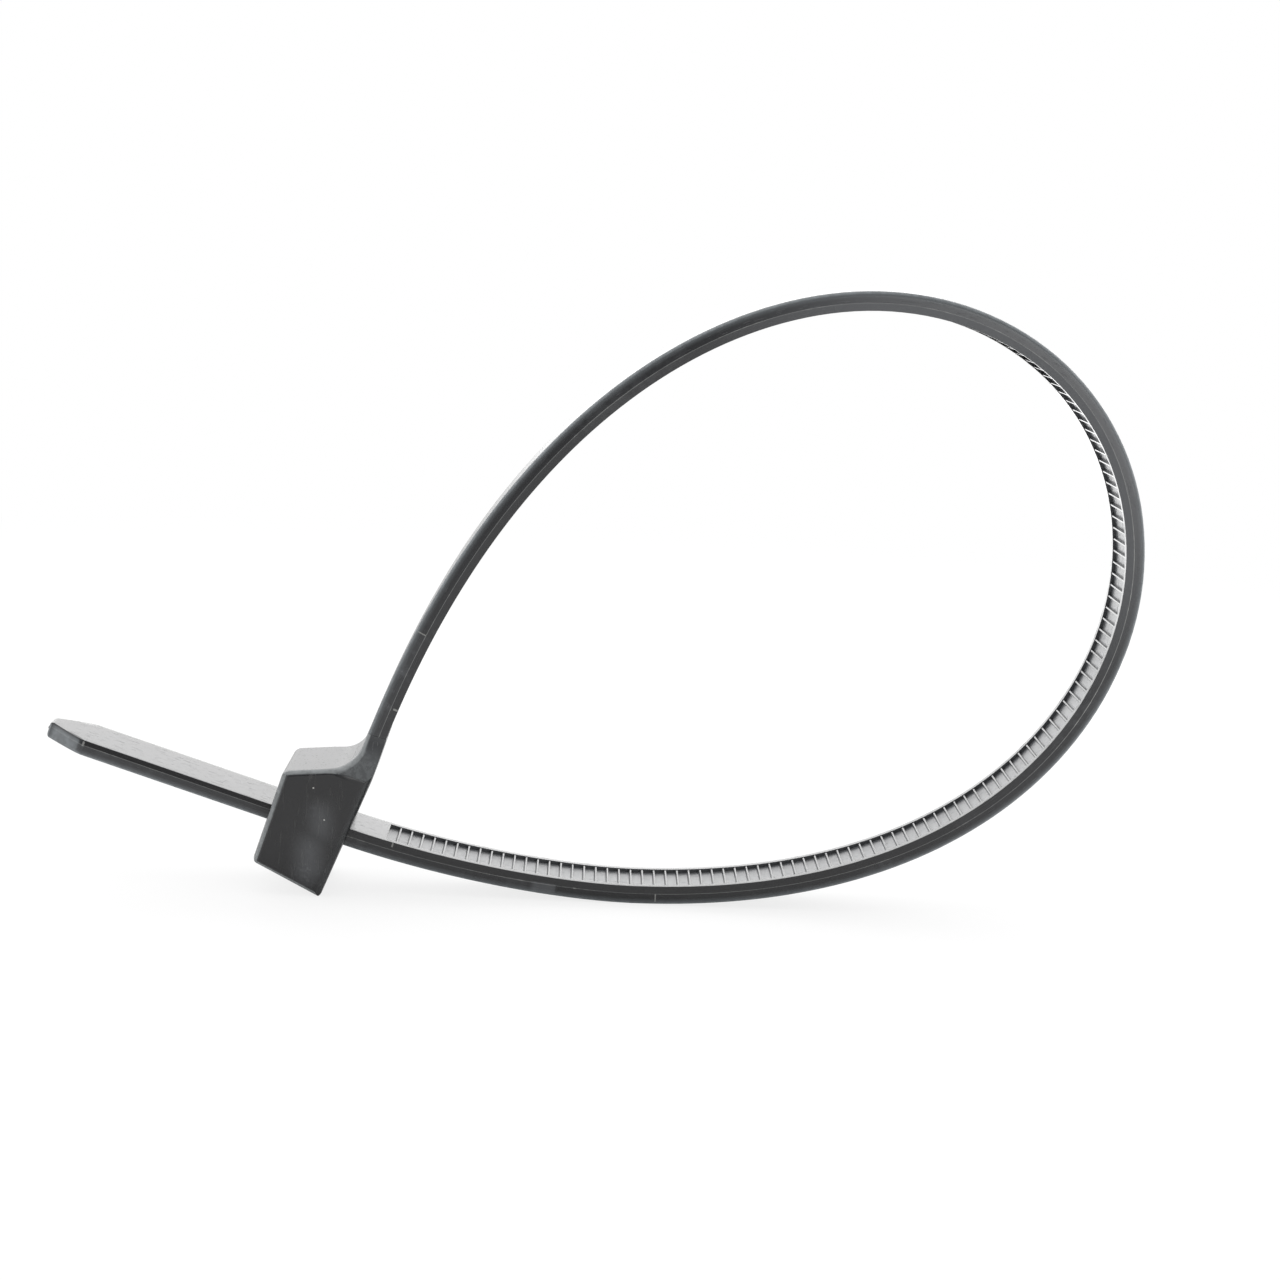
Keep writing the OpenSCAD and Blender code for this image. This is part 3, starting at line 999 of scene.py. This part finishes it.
def reckon(tree, operation, first, *others):
    """Arithmetic on one value, or on more from left to right."""
    if not others:
        return put(tree, "ShaderNodeMath", {0: first}, operation=operation).outputs[0]
    for other in others:
        first = put(tree, "ShaderNodeMath", {0: first, 1: other}, operation=operation).outputs[0]
    return first


def times(tree, *values):
    """The product of the values."""
    return reckon(tree, "MULTIPLY", *values)


def plus(tree, *values):
    """The sum of the values."""
    return reckon(tree, "ADD", *values)


def minus(tree, value, less):
    """The difference of two values."""
    return reckon(tree, "SUBTRACT", value, less)


def most(tree, *values):
    """The largest of the values."""
    return reckon(tree, "MAXIMUM", *values)


def ease(tree, value, low, high, start=0.0, end=1.0):
    """A soft step from start to end while the value goes from low to high."""
    sockets = {"Value": value, "From Min": low, "From Max": high, "To Min": start, "To Max": end}
    node = put(tree, "ShaderNodeMapRange", sockets, interpolation_type="SMOOTHSTEP")
    return node.outputs["Result"]


def ramp(tree, value, span, start=0.0, end=1.0):
    """A soft step over a span in millimetres."""
    return ease(tree, value, mm(span[0]), mm(span[1]), start, end)


def blend(tree, mask, ends):
    """From the first to the second value while the mask goes from 0 to 1."""
    return ease(tree, mask, 0.0, 1.0, *ends)


def tint(tree, amount, plain, other):
    """A colour between two others."""
    return put(tree, "ShaderNodeMix", {0: amount, 6: plain, 7: other}, data_type="RGBA").outputs[2]


def grain(tree, place, size, detail):
    """Plain noise whose grains are about as large as the size, in metres."""
    scale = reckon(tree, "DIVIDE", 1.0, size)
    sockets = {"Vector": place, "Scale": scale, "Detail": detail, "Roughness": 0.55}
    return put(tree, "ShaderNodeTexNoise", sockets).outputs["Fac"]


def effect(name, takes, gives="Mask"):
    """A new node group with a place and named numbers as inputs and one output."""
    group = bpy.data.node_groups.new(name, "ShaderNodeTree")
    for title, value in takes.items():
        kind = "NodeSocketFloat" if isinstance(value, float) else "NodeSocketVector"
        socket = group.interface.new_socket(title, in_out="INPUT", socket_type=kind)
        if value is not None:
            socket.default_value = value
    group.interface.new_socket(gives, in_out="OUTPUT", socket_type="NodeSocketFloat")
    output = group.nodes.new("NodeGroupOutput").inputs[gives]
    return group, group.nodes.new("NodeGroupInput").outputs, output


def use(tree, name, sockets):
    """Place one of the node groups in a material, and give its output."""
    if name not in bpy.data.node_groups:
        EFFECTS[name](name)
    node = tree.nodes.new("ShaderNodeGroup")
    node.node_tree = bpy.data.node_groups[name]
    fill(tree, node, sockets)
    return node.outputs[0]


def bloom_effect(name):
    """Pale bloom in clouds, with a finer mottle in it."""
    group, inputs, output = effect(name, {"Place": None, "Size": 0.005, "Cover": 0.5})
    cloud = grain(group, inputs["Place"], inputs["Size"], 3.0)
    mottle = grain(group, inputs["Place"], times(group, inputs["Size"], 0.09), 3.0)
    both = plus(group, times(group, cloud, 0.65), times(group, mottle, 0.35))
    low = minus(group, 0.72, times(group, inputs["Cover"], 0.4))
    group.links.new(ease(group, both, low, plus(group, low, 0.22)), output)


def scratch_effect(name):
    """Fine scratches in two directions."""
    group, inputs, output = effect(name, {
        "Place": None, "Stretch": (1, 1, 1), "Turn": (0, 0, 0), "Size": 0.0002, "Cover": 0.5})
    masks = []
    for extra in (0.0, 0.35):
        turn = put(
            group, "ShaderNodeVectorMath", {0: inputs["Turn"], 1: (extra,) * 3}, operation="ADD")
        place = put(group, "ShaderNodeMapping", {
            "Vector": inputs["Place"], "Rotation": turn.outputs[0], "Scale": inputs["Stretch"]})
        line = grain(group, place.outputs[0], inputs["Size"], 1.0)
        low = minus(group, 0.76, times(group, inputs["Cover"], 0.16))
        masks.append(ease(group, line, low, plus(group, low, 0.07)))
    group.links.new(most(group, *masks), output)


def dust_effect(name):
    """Small round specks, thinly strewn."""
    group, inputs, output = effect(name, {
        "Place": None, "Spacing": 0.001, "Radius": 0.08, "Share": 0.1})
    scale = reckon(group, "DIVIDE", 1.0, inputs["Spacing"])
    cell = put(group, "ShaderNodeTexVoronoi", {"Vector": inputs["Place"], "Scale": scale}).outputs
    radius = inputs["Radius"]
    dot = ease(group, cell["Distance"], times(group, radius, 0.5), radius, 1.0, 0.0)
    chosen = reckon(group, "LESS_THAN", cell["Color"], inputs["Share"])
    group.links.new(times(group, dot, chosen), output)


def patch_effect(name):
    """A patch with soft sides between two places along and two places across."""
    group, inputs, output = effect(name, dict.fromkeys(("Along", "Across", *PATCH_SIZES), 0.0))

    def between(value, low, high, soft):
        half = times(group, soft, 0.5)
        up = ease(group, value, minus(group, low, half), plus(group, low, half))
        down = ease(group, value, minus(group, high, half), plus(group, high, half), 1.0, 0.0)
        return times(group, up, down)

    along = between(inputs["Along"], inputs["From"], inputs["To"], inputs["Soft"])
    across = between(inputs["Across"], inputs["Low"], inputs["High"], inputs["Soft across"])
    group.links.new(times(group, along, across), output)


def skin_effect(name):
    """Height of the moulded skin: a fine grain on slow waves."""
    group, inputs, output = effect(name, {"Place": None, "Grain": 0.00025, "Wave": 0.003}, "Height")
    fine = times(group, grain(group, inputs["Place"], inputs["Grain"], 3.0), 0.3)
    slow = grain(group, inputs["Place"], inputs["Wave"], 1.0)
    group.links.new(plus(group, fine, slow), output)


def wear_and_sheen_effect(name):
    """Wear on the rounded edges between the faces turned along Y and the others, paled into a
    painted rim highlight.
    """
    group, inputs, output = effect(name, {"Place": None, "Facing": 1.0, "Grain": 0.0005})
    off_side = ease(group, inputs["Facing"], 0.99, 0.82)
    off_face = ease(group, inputs["Facing"], 0.08, 0.3)
    mottle = ease(group, grain(group, inputs["Place"], inputs["Grain"], 3.0), 0.3, 0.7, 0.65, 1.0)
    group.links.new(times(group, off_side, off_face, mottle), output)


EFFECTS = {
    "Bloom": bloom_effect,
    # The edge wear group also paints the rim highlight
    "Edge wear": wear_and_sheen_effect,
    "Scratches": scratch_effect,
    "Dust": dust_effect,
    "Patch": patch_effect,
    "Moulded skin": skin_effect,
}


def patch(tree, along, across, place, soft, soft_across):
    """A soft patch at a place: from and to along, from and to across, in millimetres."""
    sizes = dict(zip(PATCH_SIZES, map(mm, (*place, soft, soft_across))))
    return use(tree, "Patch", {"Along": along, "Across": across, **sizes})


def nylon(name):
    """A new nylon material: its tree, its shader, and place and facing on the piece."""
    material = bpy.data.materials.new(name)
    material.use_nodes = True
    tree = material.node_tree
    shader = tree.nodes["Principled BSDF"]
    shader.inputs["IOR"].default_value = 1.5
    here = put(tree, "ShaderNodeTexCoord", {}).outputs
    facing = put(tree, "ShaderNodeSeparateXYZ", {0: here["Normal"]}).outputs
    return material, tree, shader, here["Object"], facing


def finish_nylon(scene, tree, shader, place, pale, wear, light, rough):
    """Feed the masks into the shader: pale bloom with the painted fill light in the channel, worn
    edges with their painted rim highlight, light marks with painted highlights, rough spots.
    """
    finish = scene.tie_finish
    plain, bloom, worn, dust = (
        (*value, 1) for value in (finish.nylon, finish.bloom, finish.worn, finish.dust))
    pale = times(tree, pale, finish.haze)
    rubbed_and_sheen = tint(tree, times(tree, wear, finish.wear), tint(tree, pale, plain, bloom), worn)
    dull = most(tree, rough, times(tree, pale, BLOOM_DULL), wear)
    height = use(tree, "Moulded skin", {"Place": place, "Grain": 0.0002, "Wave": 0.0035})
    scored = minus(tree, height, times(tree, rough, 0.25))
    bump = put(tree, "ShaderNodeBump", {"Strength": 0.35, "Distance": 0.00003, "Height": scored})
    fill(tree, shader, {
        "Base Color": tint(tree, light, rubbed_and_sheen, dust), "Normal": bump.outputs["Normal"],
        "Roughness": blend(tree, dull, (finish.gloss, finish.dull))})


def strap_nylon(scene, plan):
    """Nylon of the strap: dull edge faces with the marks of the mould, painted highlights on the
    parting line and the crests, and painted fill light in the channel.
    """
    finish, strap = in_mm(scene.tie_finish), plan.strap
    material, tree, shader, place, facing = nylon("nylon_strap")
    run_map = put(tree, "ShaderNodeUVMap", {}, uv_map=RUN_MAP)
    run, height = put(tree, "ShaderNodeSeparateXYZ", {0: run_map.outputs[0]}).outputs[:2]
    across = put(tree, "ShaderNodeSeparateXYZ", {0: place}).outputs["Y"]
    strip = put(tree, "ShaderNodeCombineXYZ", {"X": run, "Y": height, "Z": across}).outputs[0]
    aside = reckon(tree, "ABSOLUTE", across)
    side, rail = strap.width / 2, plan.channel / 2
    parting = strap.thickness * (0.5 - strap.parting)
    in_tail = plan.run - OVERLAP + plan.head.depth
    tail_tip = in_tail + plan.tail.length
    tip_start = tail_tip - plan.tail.tip

    def spot(start, end, low, high, soft=MARK_SOFT):
        return patch(tree, run, height, (start, end, low, high), *soft)

    # where on the strap
    at_tip = ramp(tree, run, (tip_start - 0.2, tip_start))
    turned_out = reckon(tree, "ABSOLUTE", facing["Y"])
    sideways = ease(tree, turned_out, *SIDEWAYS)
    on_side = ramp(tree, aside, [side - inset for inset in EDGE_INSET])
    edge = times(tree, most(tree, on_side, at_tip), sideways)
    outer = ramp(tree, height, (parting - 0.05, parting + 0.05), 1.0, 0.0)
    near_ends = plus(tree, ramp(tree, run, BY_SLOT), ramp(tree, run, (in_tail, in_tail + 3)))
    on_top = times(tree, ramp(tree, run, TOP_RISE), ramp(tree, run, TOP_FALL))
    on_right = times(tree, ramp(tree, run, RIGHT_RISE), ramp(tree, run, RIGHT_FALL))
    smooth = spot(finish.patch_start, finish.patch_end, PATCH_LOW, parting, PATCH_SOFT)
    off_patch = minus(tree, 1.0, smooth)
    scuff_end = finish.patch_end + SCUFF_LENGTH
    scuffed = spot(finish.patch_end, scuff_end, SCUFF_LOW, parting + 0.1, SCUFF_SOFT)
    neck = spot(-BEYOND, finish.neck_mark, NECK_LOW, parting, NECK_SOFT)
    on_teeth = times(
        tree, ramp(tree, aside, (rail + 0.05, rail)), ramp(tree, height, WALL_HEIGHTS),
        ramp(tree, run, (plan.teeth_start - 0.1, plan.teeth_start)),
        ramp(tree, run, (plan.teeth_end, plan.teeth_end - 0.1)))
    # Where the flat crests of the teeth lie: a painted highlight on them, and less painted fill
    # light
    from_first = minus(tree, run, mm(plan.teeth_start))
    in_pitch = reckon(tree, "FRACT", reckon(tree, "DIVIDE", from_first, mm(strap.pitch)))
    crest = strap.crest / strap.pitch
    crests = times(tree, on_teeth, ease(tree, in_pitch, crest + 0.06, crest))

    # how pale: bloom, and painted fill light in the channel
    clouds = use(tree, "Bloom", {"Place": strip, "Size": 0.008, "Cover": 0.62})
    outer_bloom = times(tree, outer, plus(
        tree, blend(tree, clouds, OUTER_BLOOM), times(tree, near_ends, END_BLOOM)))
    inner_bloom = times(tree, blend(tree, clouds, INNER_BLOOM), ramp(tree, run, UPPER_FALL))
    top_bloom = times(tree, on_top, blend(tree, outer, TOP_BLOOM))
    neck_bloom = times(tree, neck, blend(tree, clouds, NECK_BLOOM))
    scuffs = times(tree, scuffed, SCUFF_BLOOM)
    edge_bloom = times(tree, off_patch, most(
        tree, outer_bloom, inner_bloom, top_bloom, scuffs, neck_bloom))
    # Painted fill light: lifts the shade in the toothed channel from the loop's far side on, less
    # on the crests
    channel_painted_fill = times(
        tree, on_teeth, ramp(tree, run, CHANNEL_FILL_RISE, *CHANNEL_PAINTED_FILL),
        blend(tree, crests, CREST_FILL_SHARE))
    face_bloom_and_fill = most(tree, times(tree, clouds, FACE_BLOOM), channel_painted_fill)
    pale = blend(tree, edge, (face_bloom_and_fill, edge_bloom))

    # how worn, with the painted rim highlight
    rubbed_and_sheen = use(tree, "Edge wear", {"Place": strip, "Facing": turned_out, "Grain": 0.0006})
    # Worn rims with their painted highlight, less on the inner rims, more towards the rolled outer
    # rim
    wear = most(
        tree, times(tree, rubbed_and_sheen, ramp(tree, height, RIM_HEIGHTS, 1.0, INNER_RIM_SHEEN)),
        times(tree, ramp(tree, height, ROLLED_HEIGHTS, 0.0, ROLLED_SHEEN), edge),
        times(tree, at_tip, sideways, TIP_WEAR))

    # light marks: mould marks and dust specks, and painted highlights on the parting line and the
    # crests
    # Painted highlight along the parting line, stronger on the right of the loop
    line = times(
        tree, spot(-BEYOND, tail_tip + BEYOND, parting - LINE_HALF, parting + LINE_HALF, LINE_SOFT),
        off_patch, blend(tree, on_right, (1.0, LINE_HIGHLIGHT_ON_RIGHT)), blend(tree, clouds, LINE_PAINTED_HIGHLIGHT))
    from_parting = (0, 0, parting, parting)
    marks = most(
        tree, spot(*TICK_AFTER_NECK), spot(*TICK_AT_TEETH_END),
        *(spot(*map(sum, zip(nick, from_parting))) for nick in (NICK_IN_PATCH, NICK_PAST_PATCH)),
        spot(finish.neck_mark - 0.06, finish.neck_mark + 0.06, MARK_LOW, parting),
        spot(finish.patch_start - 0.1, finish.patch_start + 0.02, -0.65, parting),
        spot(tip_start - 0.1, tip_start + 0.12, parting - 0.1, 0.6))
    specks = use(tree, "Dust", {"Place": strip, "Spacing": 0.0016, "Radius": 0.035, "Share": 0.12})
    light = times(tree, edge, most(
        tree, line, times(tree, marks, MARK_LIGHT), times(tree, crests, CREST_PAINTED_HIGHLIGHT),
        times(tree, specks, SPECK_LIGHT)))
    rough = use(tree, "Scratches", {
        "Place": strip, "Stretch": (0.08, 1, 1), "Size": 0.00012, "Cover": 0.6})
    finish_nylon(scene, tree, shader, place, pale, wear, light, rough)
    return material


def head_nylon(scene):
    """Nylon of the head: cloudy bloom and fine scratches on its cheeks, with a few dust specks, and
    worn rims with a painted highlight, weaker on faces turned to the loop.
    """
    material, tree, shader, place, facing = nylon("nylon_head")
    x, y, z = put(tree, "ShaderNodeSeparateXYZ", {0: place}).outputs

    def spots(places, soft):
        return most(tree, *(patch(tree, x, z, spot, soft, soft) for spot in places))

    clouds = use(tree, "Bloom", {"Place": place, "Size": 0.005, "Cover": 0.6})
    pale = plus(
        tree, times(tree, clouds, HEAD_BLOOM), ramp(tree, z, NECK_RISE, 0.0, NECK_PALE),
        times(tree, spots(HEAD_CLOUDS, CLOUD_SOFT), blend(tree, clouds, HEAD_CLOUD_BLOOM)))
    turned_out = reckon(tree, "ABSOLUTE", facing["Y"])
    # Painted shade: the rims turned to the loop get less of the painted highlight
    off_loop = ease(tree, facing["X"], -0.05, 0.3, 1.0, LOOP_SIDE_SHEEN)
    wear = times(tree, off_loop, use(
        tree, "Edge wear", {"Place": place, "Facing": turned_out, "Grain": 0.0006}))
    rough = use(tree, "Scratches", {
        "Place": place, "Stretch": (1, 1, 0.1), "Turn": (0, 0.2, 0), "Size": 0.00025, "Cover": 0.6})
    dust = use(tree, "Dust", {"Place": place, "Spacing": 0.0011, "Radius": 0.05, "Share": 0.14})
    specks = times(tree, spots(HEAD_SPECKS, SPECK_SOFT), ramp(tree, y, NEAR_SIDE, 1.0, 0.0))
    # Dust, scratches and bright specks, and the painted highlight on the worn rims
    light = most(
        tree, specks, times(tree, dust, HEAD_DUST_LIGHT), times(tree, rough, HEAD_SCRATCH_LIGHT),
        times(tree, wear, HEAD_RIM_PAINTED_HIGHLIGHT))
    rough = most(tree, rough, ease(tree, facing["Z"], 0.6, 0.9, 0.0, TOP_DULL))
    finish_nylon(scene, tree, shader, place, pale, wear, light, rough)
    return material


# Stage

# Soft lamps: place, aim and size in metres, and how bright the lamp looks
LAMPS = {
    "overhead": ((-0.15, 0.0, 0.7), (0, 0, 0.03), (0.5, 0.5), 1.2),
    "back": ((0, 0.5, 0.31), (0, 0, 0.05), (1.5, 0.6), 1.6),
    "back low": ((0.05, 0.16, 0.015), (0.05, 0, 0.015), (0.14, 0.028), 2.2),
    "front right": ((0.26, -0.5, 0.13), (0.03, 0, 0.05), (0.36, 0.24), 2.2),
}

# The camera: place in metres, turn in degrees, lens and film in millimetres
CAMERA_PLACE = (-0.001423, -0.247764, 0.071703)
CAMERA_TURN = (79.92760, -2.71148, -1.00634)
CAMERA_LENS = 67.275
CAMERA_FILM = 36
CAMERA_NEAREST = 0.01

# The floor in metres, and in millimetres where it turns plain white round the middle and
# where its mirror image in the tie is white
FLOOR_SIZE = 6
WHITE_RISE = (100, 300)
MIRRORED_RISE = (-20, 50)


def floor_material(stage):
    """Pale floor that shows white and keeps the object's shadow."""
    material = bpy.data.materials.new("floor")
    material.use_nodes = True
    tree = material.node_tree
    shader = tree.nodes["Principled BSDF"]
    fill(tree, shader, {
        "Base Color": (*stage.floor, 1), "Roughness": 0.6, "Specular IOR Level": 0.2})
    white = put(tree, "ShaderNodeEmission", {"Strength": 1.0})
    place = put(tree, "ShaderNodeTexCoord", {}).outputs["Object"]
    away = put(tree, "ShaderNodeVectorMath", {0: place}, operation="LENGTH").outputs["Value"]
    depth = put(tree, "ShaderNodeSeparateXYZ", {0: place}).outputs["Y"]
    ray = put(tree, "ShaderNodeLightPath", {}).outputs
    mirrored = times(tree, ray["Is Glossy Ray"], ramp(tree, depth, MIRRORED_RISE))
    amount = times(
        tree, plus(tree, ray["Is Camera Ray"], mirrored),
        ramp(tree, away, WHITE_RISE, stage.floor_white, 1.0))
    mix = put(tree, "ShaderNodeMixShader", {
        "Fac": amount, 1: shader.outputs["BSDF"], 2: white.outputs["Emission"]})
    tree.links.new(mix.outputs["Shader"], tree.nodes["Material Output"].inputs["Surface"])
    return material


def studio_world(scene):
    """White for the camera. The light is dimmer on its side and brighter behind the tie."""
    stage = scene.tie_stage
    world = bpy.data.worlds.new("studio")
    world.use_nodes = True
    scene.world = world
    tree = world.node_tree
    way = put(tree, "ShaderNodeTexCoord", {}).outputs["Generated"]
    axes = put(tree, "ShaderNodeSeparateXYZ", {0: way}).outputs
    sides = ease(tree, reckon(tree, "ABSOLUTE", axes["X"]), 0.4, 0.95, 0.0, stage.side_level)
    level = plus(
        tree, sides, ease(tree, axes["Y"], -1.0, 0.6, stage.front_level, stage.back_level))
    camera_ray = put(tree, "ShaderNodeLightPath", {}).outputs["Is Camera Ray"]
    shown = plus(tree, level, times(tree, camera_ray, minus(tree, 1.0, level)))
    fill(tree, tree.nodes["Background"], {"Strength": 1, "Color": shown})


def softbox(name, place, aim, size, level):
    """A soft lamp at a place, turned to what it aims at."""
    lamp = add(bpy.ops.object.light_add, name, type="AREA", location=place)
    lamp.data.shape = "RECTANGLE"
    lamp.data.size, lamp.data.size_y = size
    lamp.data.energy = level * math.pi * size[0] * size[1]
    lamp.rotation_euler = (Vector(aim) - Vector(place)).to_track_quat("-Z", "Y").to_euler()
    lamp.visible_camera = False


class TIE_OT_stage(Operator):
    """Set the floor, the light and the camera"""

    bl_idname = "tie.stage"
    bl_label = "Stage"

    def execute(self, context):
        scene = context.scene
        floor = add(
            bpy.ops.mesh.primitive_plane_add, "floor", size=FLOOR_SIZE, location=(0, 0, 0))
        floor.data.materials.append(floor_material(scene.tie_stage))
        studio_world(scene)
        for name, values in LAMPS.items():
            softbox(name, *values)
        camera = add(
            bpy.ops.object.camera_add, "camera", location=CAMERA_PLACE,
            rotation=[math.radians(turn) for turn in CAMERA_TURN])
        camera.data.sensor_width = CAMERA_FILM
        camera.data.lens = CAMERA_LENS
        camera.data.clip_start = CAMERA_NEAREST
        scene.camera = camera
        scene.view_settings.view_transform = "Standard"
        return {"FINISHED"}


class TIE_PT_panel(Panel):
    """Sizes and steps of the cable tie"""

    bl_idname = "TIE_PT_panel"
    bl_label = "Cable Tie"
    bl_space_type = "VIEW_3D"
    bl_region_type = "UI"
    bl_category = "Cable Tie"

    def draw(self, context):
        layout = self.layout
        for step in STEPS:
            layout.operator(step.bl_idname)
        for name, group in GROUPS.items():
            box = layout.box()
            box.label(text=group.__doc__)
            for item in group.__annotations__:
                box.prop(getattr(context.scene, name), item)


GROUPS = {
    "tie_strap": TieStrap,
    "tie_loop": TieLoop,
    "tie_head": TieHead,
    "tie_tail": TieTail,
    "tie_finish": TieFinish,
    "tie_stage": TieStage,
}
STEPS = (TIE_OT_strap, TIE_OT_head, TIE_OT_join, TIE_OT_stage)
CLASSES = (*GROUPS.values(), *STEPS, TIE_PT_panel)


def register():
    for group in GROUPS.values():
        for name, item in group.__annotations__.items():
            item.keywords["name"] = name.replace("_", " ").capitalize()
    for item in CLASSES:
        bpy.utils.register_class(item)
    for name, group in GROUPS.items():
        setattr(bpy.types.Scene, name, PointerProperty(type=group))


def unregister():
    for name in GROUPS:
        delattr(bpy.types.Scene, name)
    for item in reversed(CLASSES):
        bpy.utils.unregister_class(item)


def main():
    register()
    bpy.ops.tie.strap()
    bpy.ops.tie.head()
    bpy.ops.tie.join()
    bpy.ops.tie.stage()


if __name__ == "__main__":
    main()
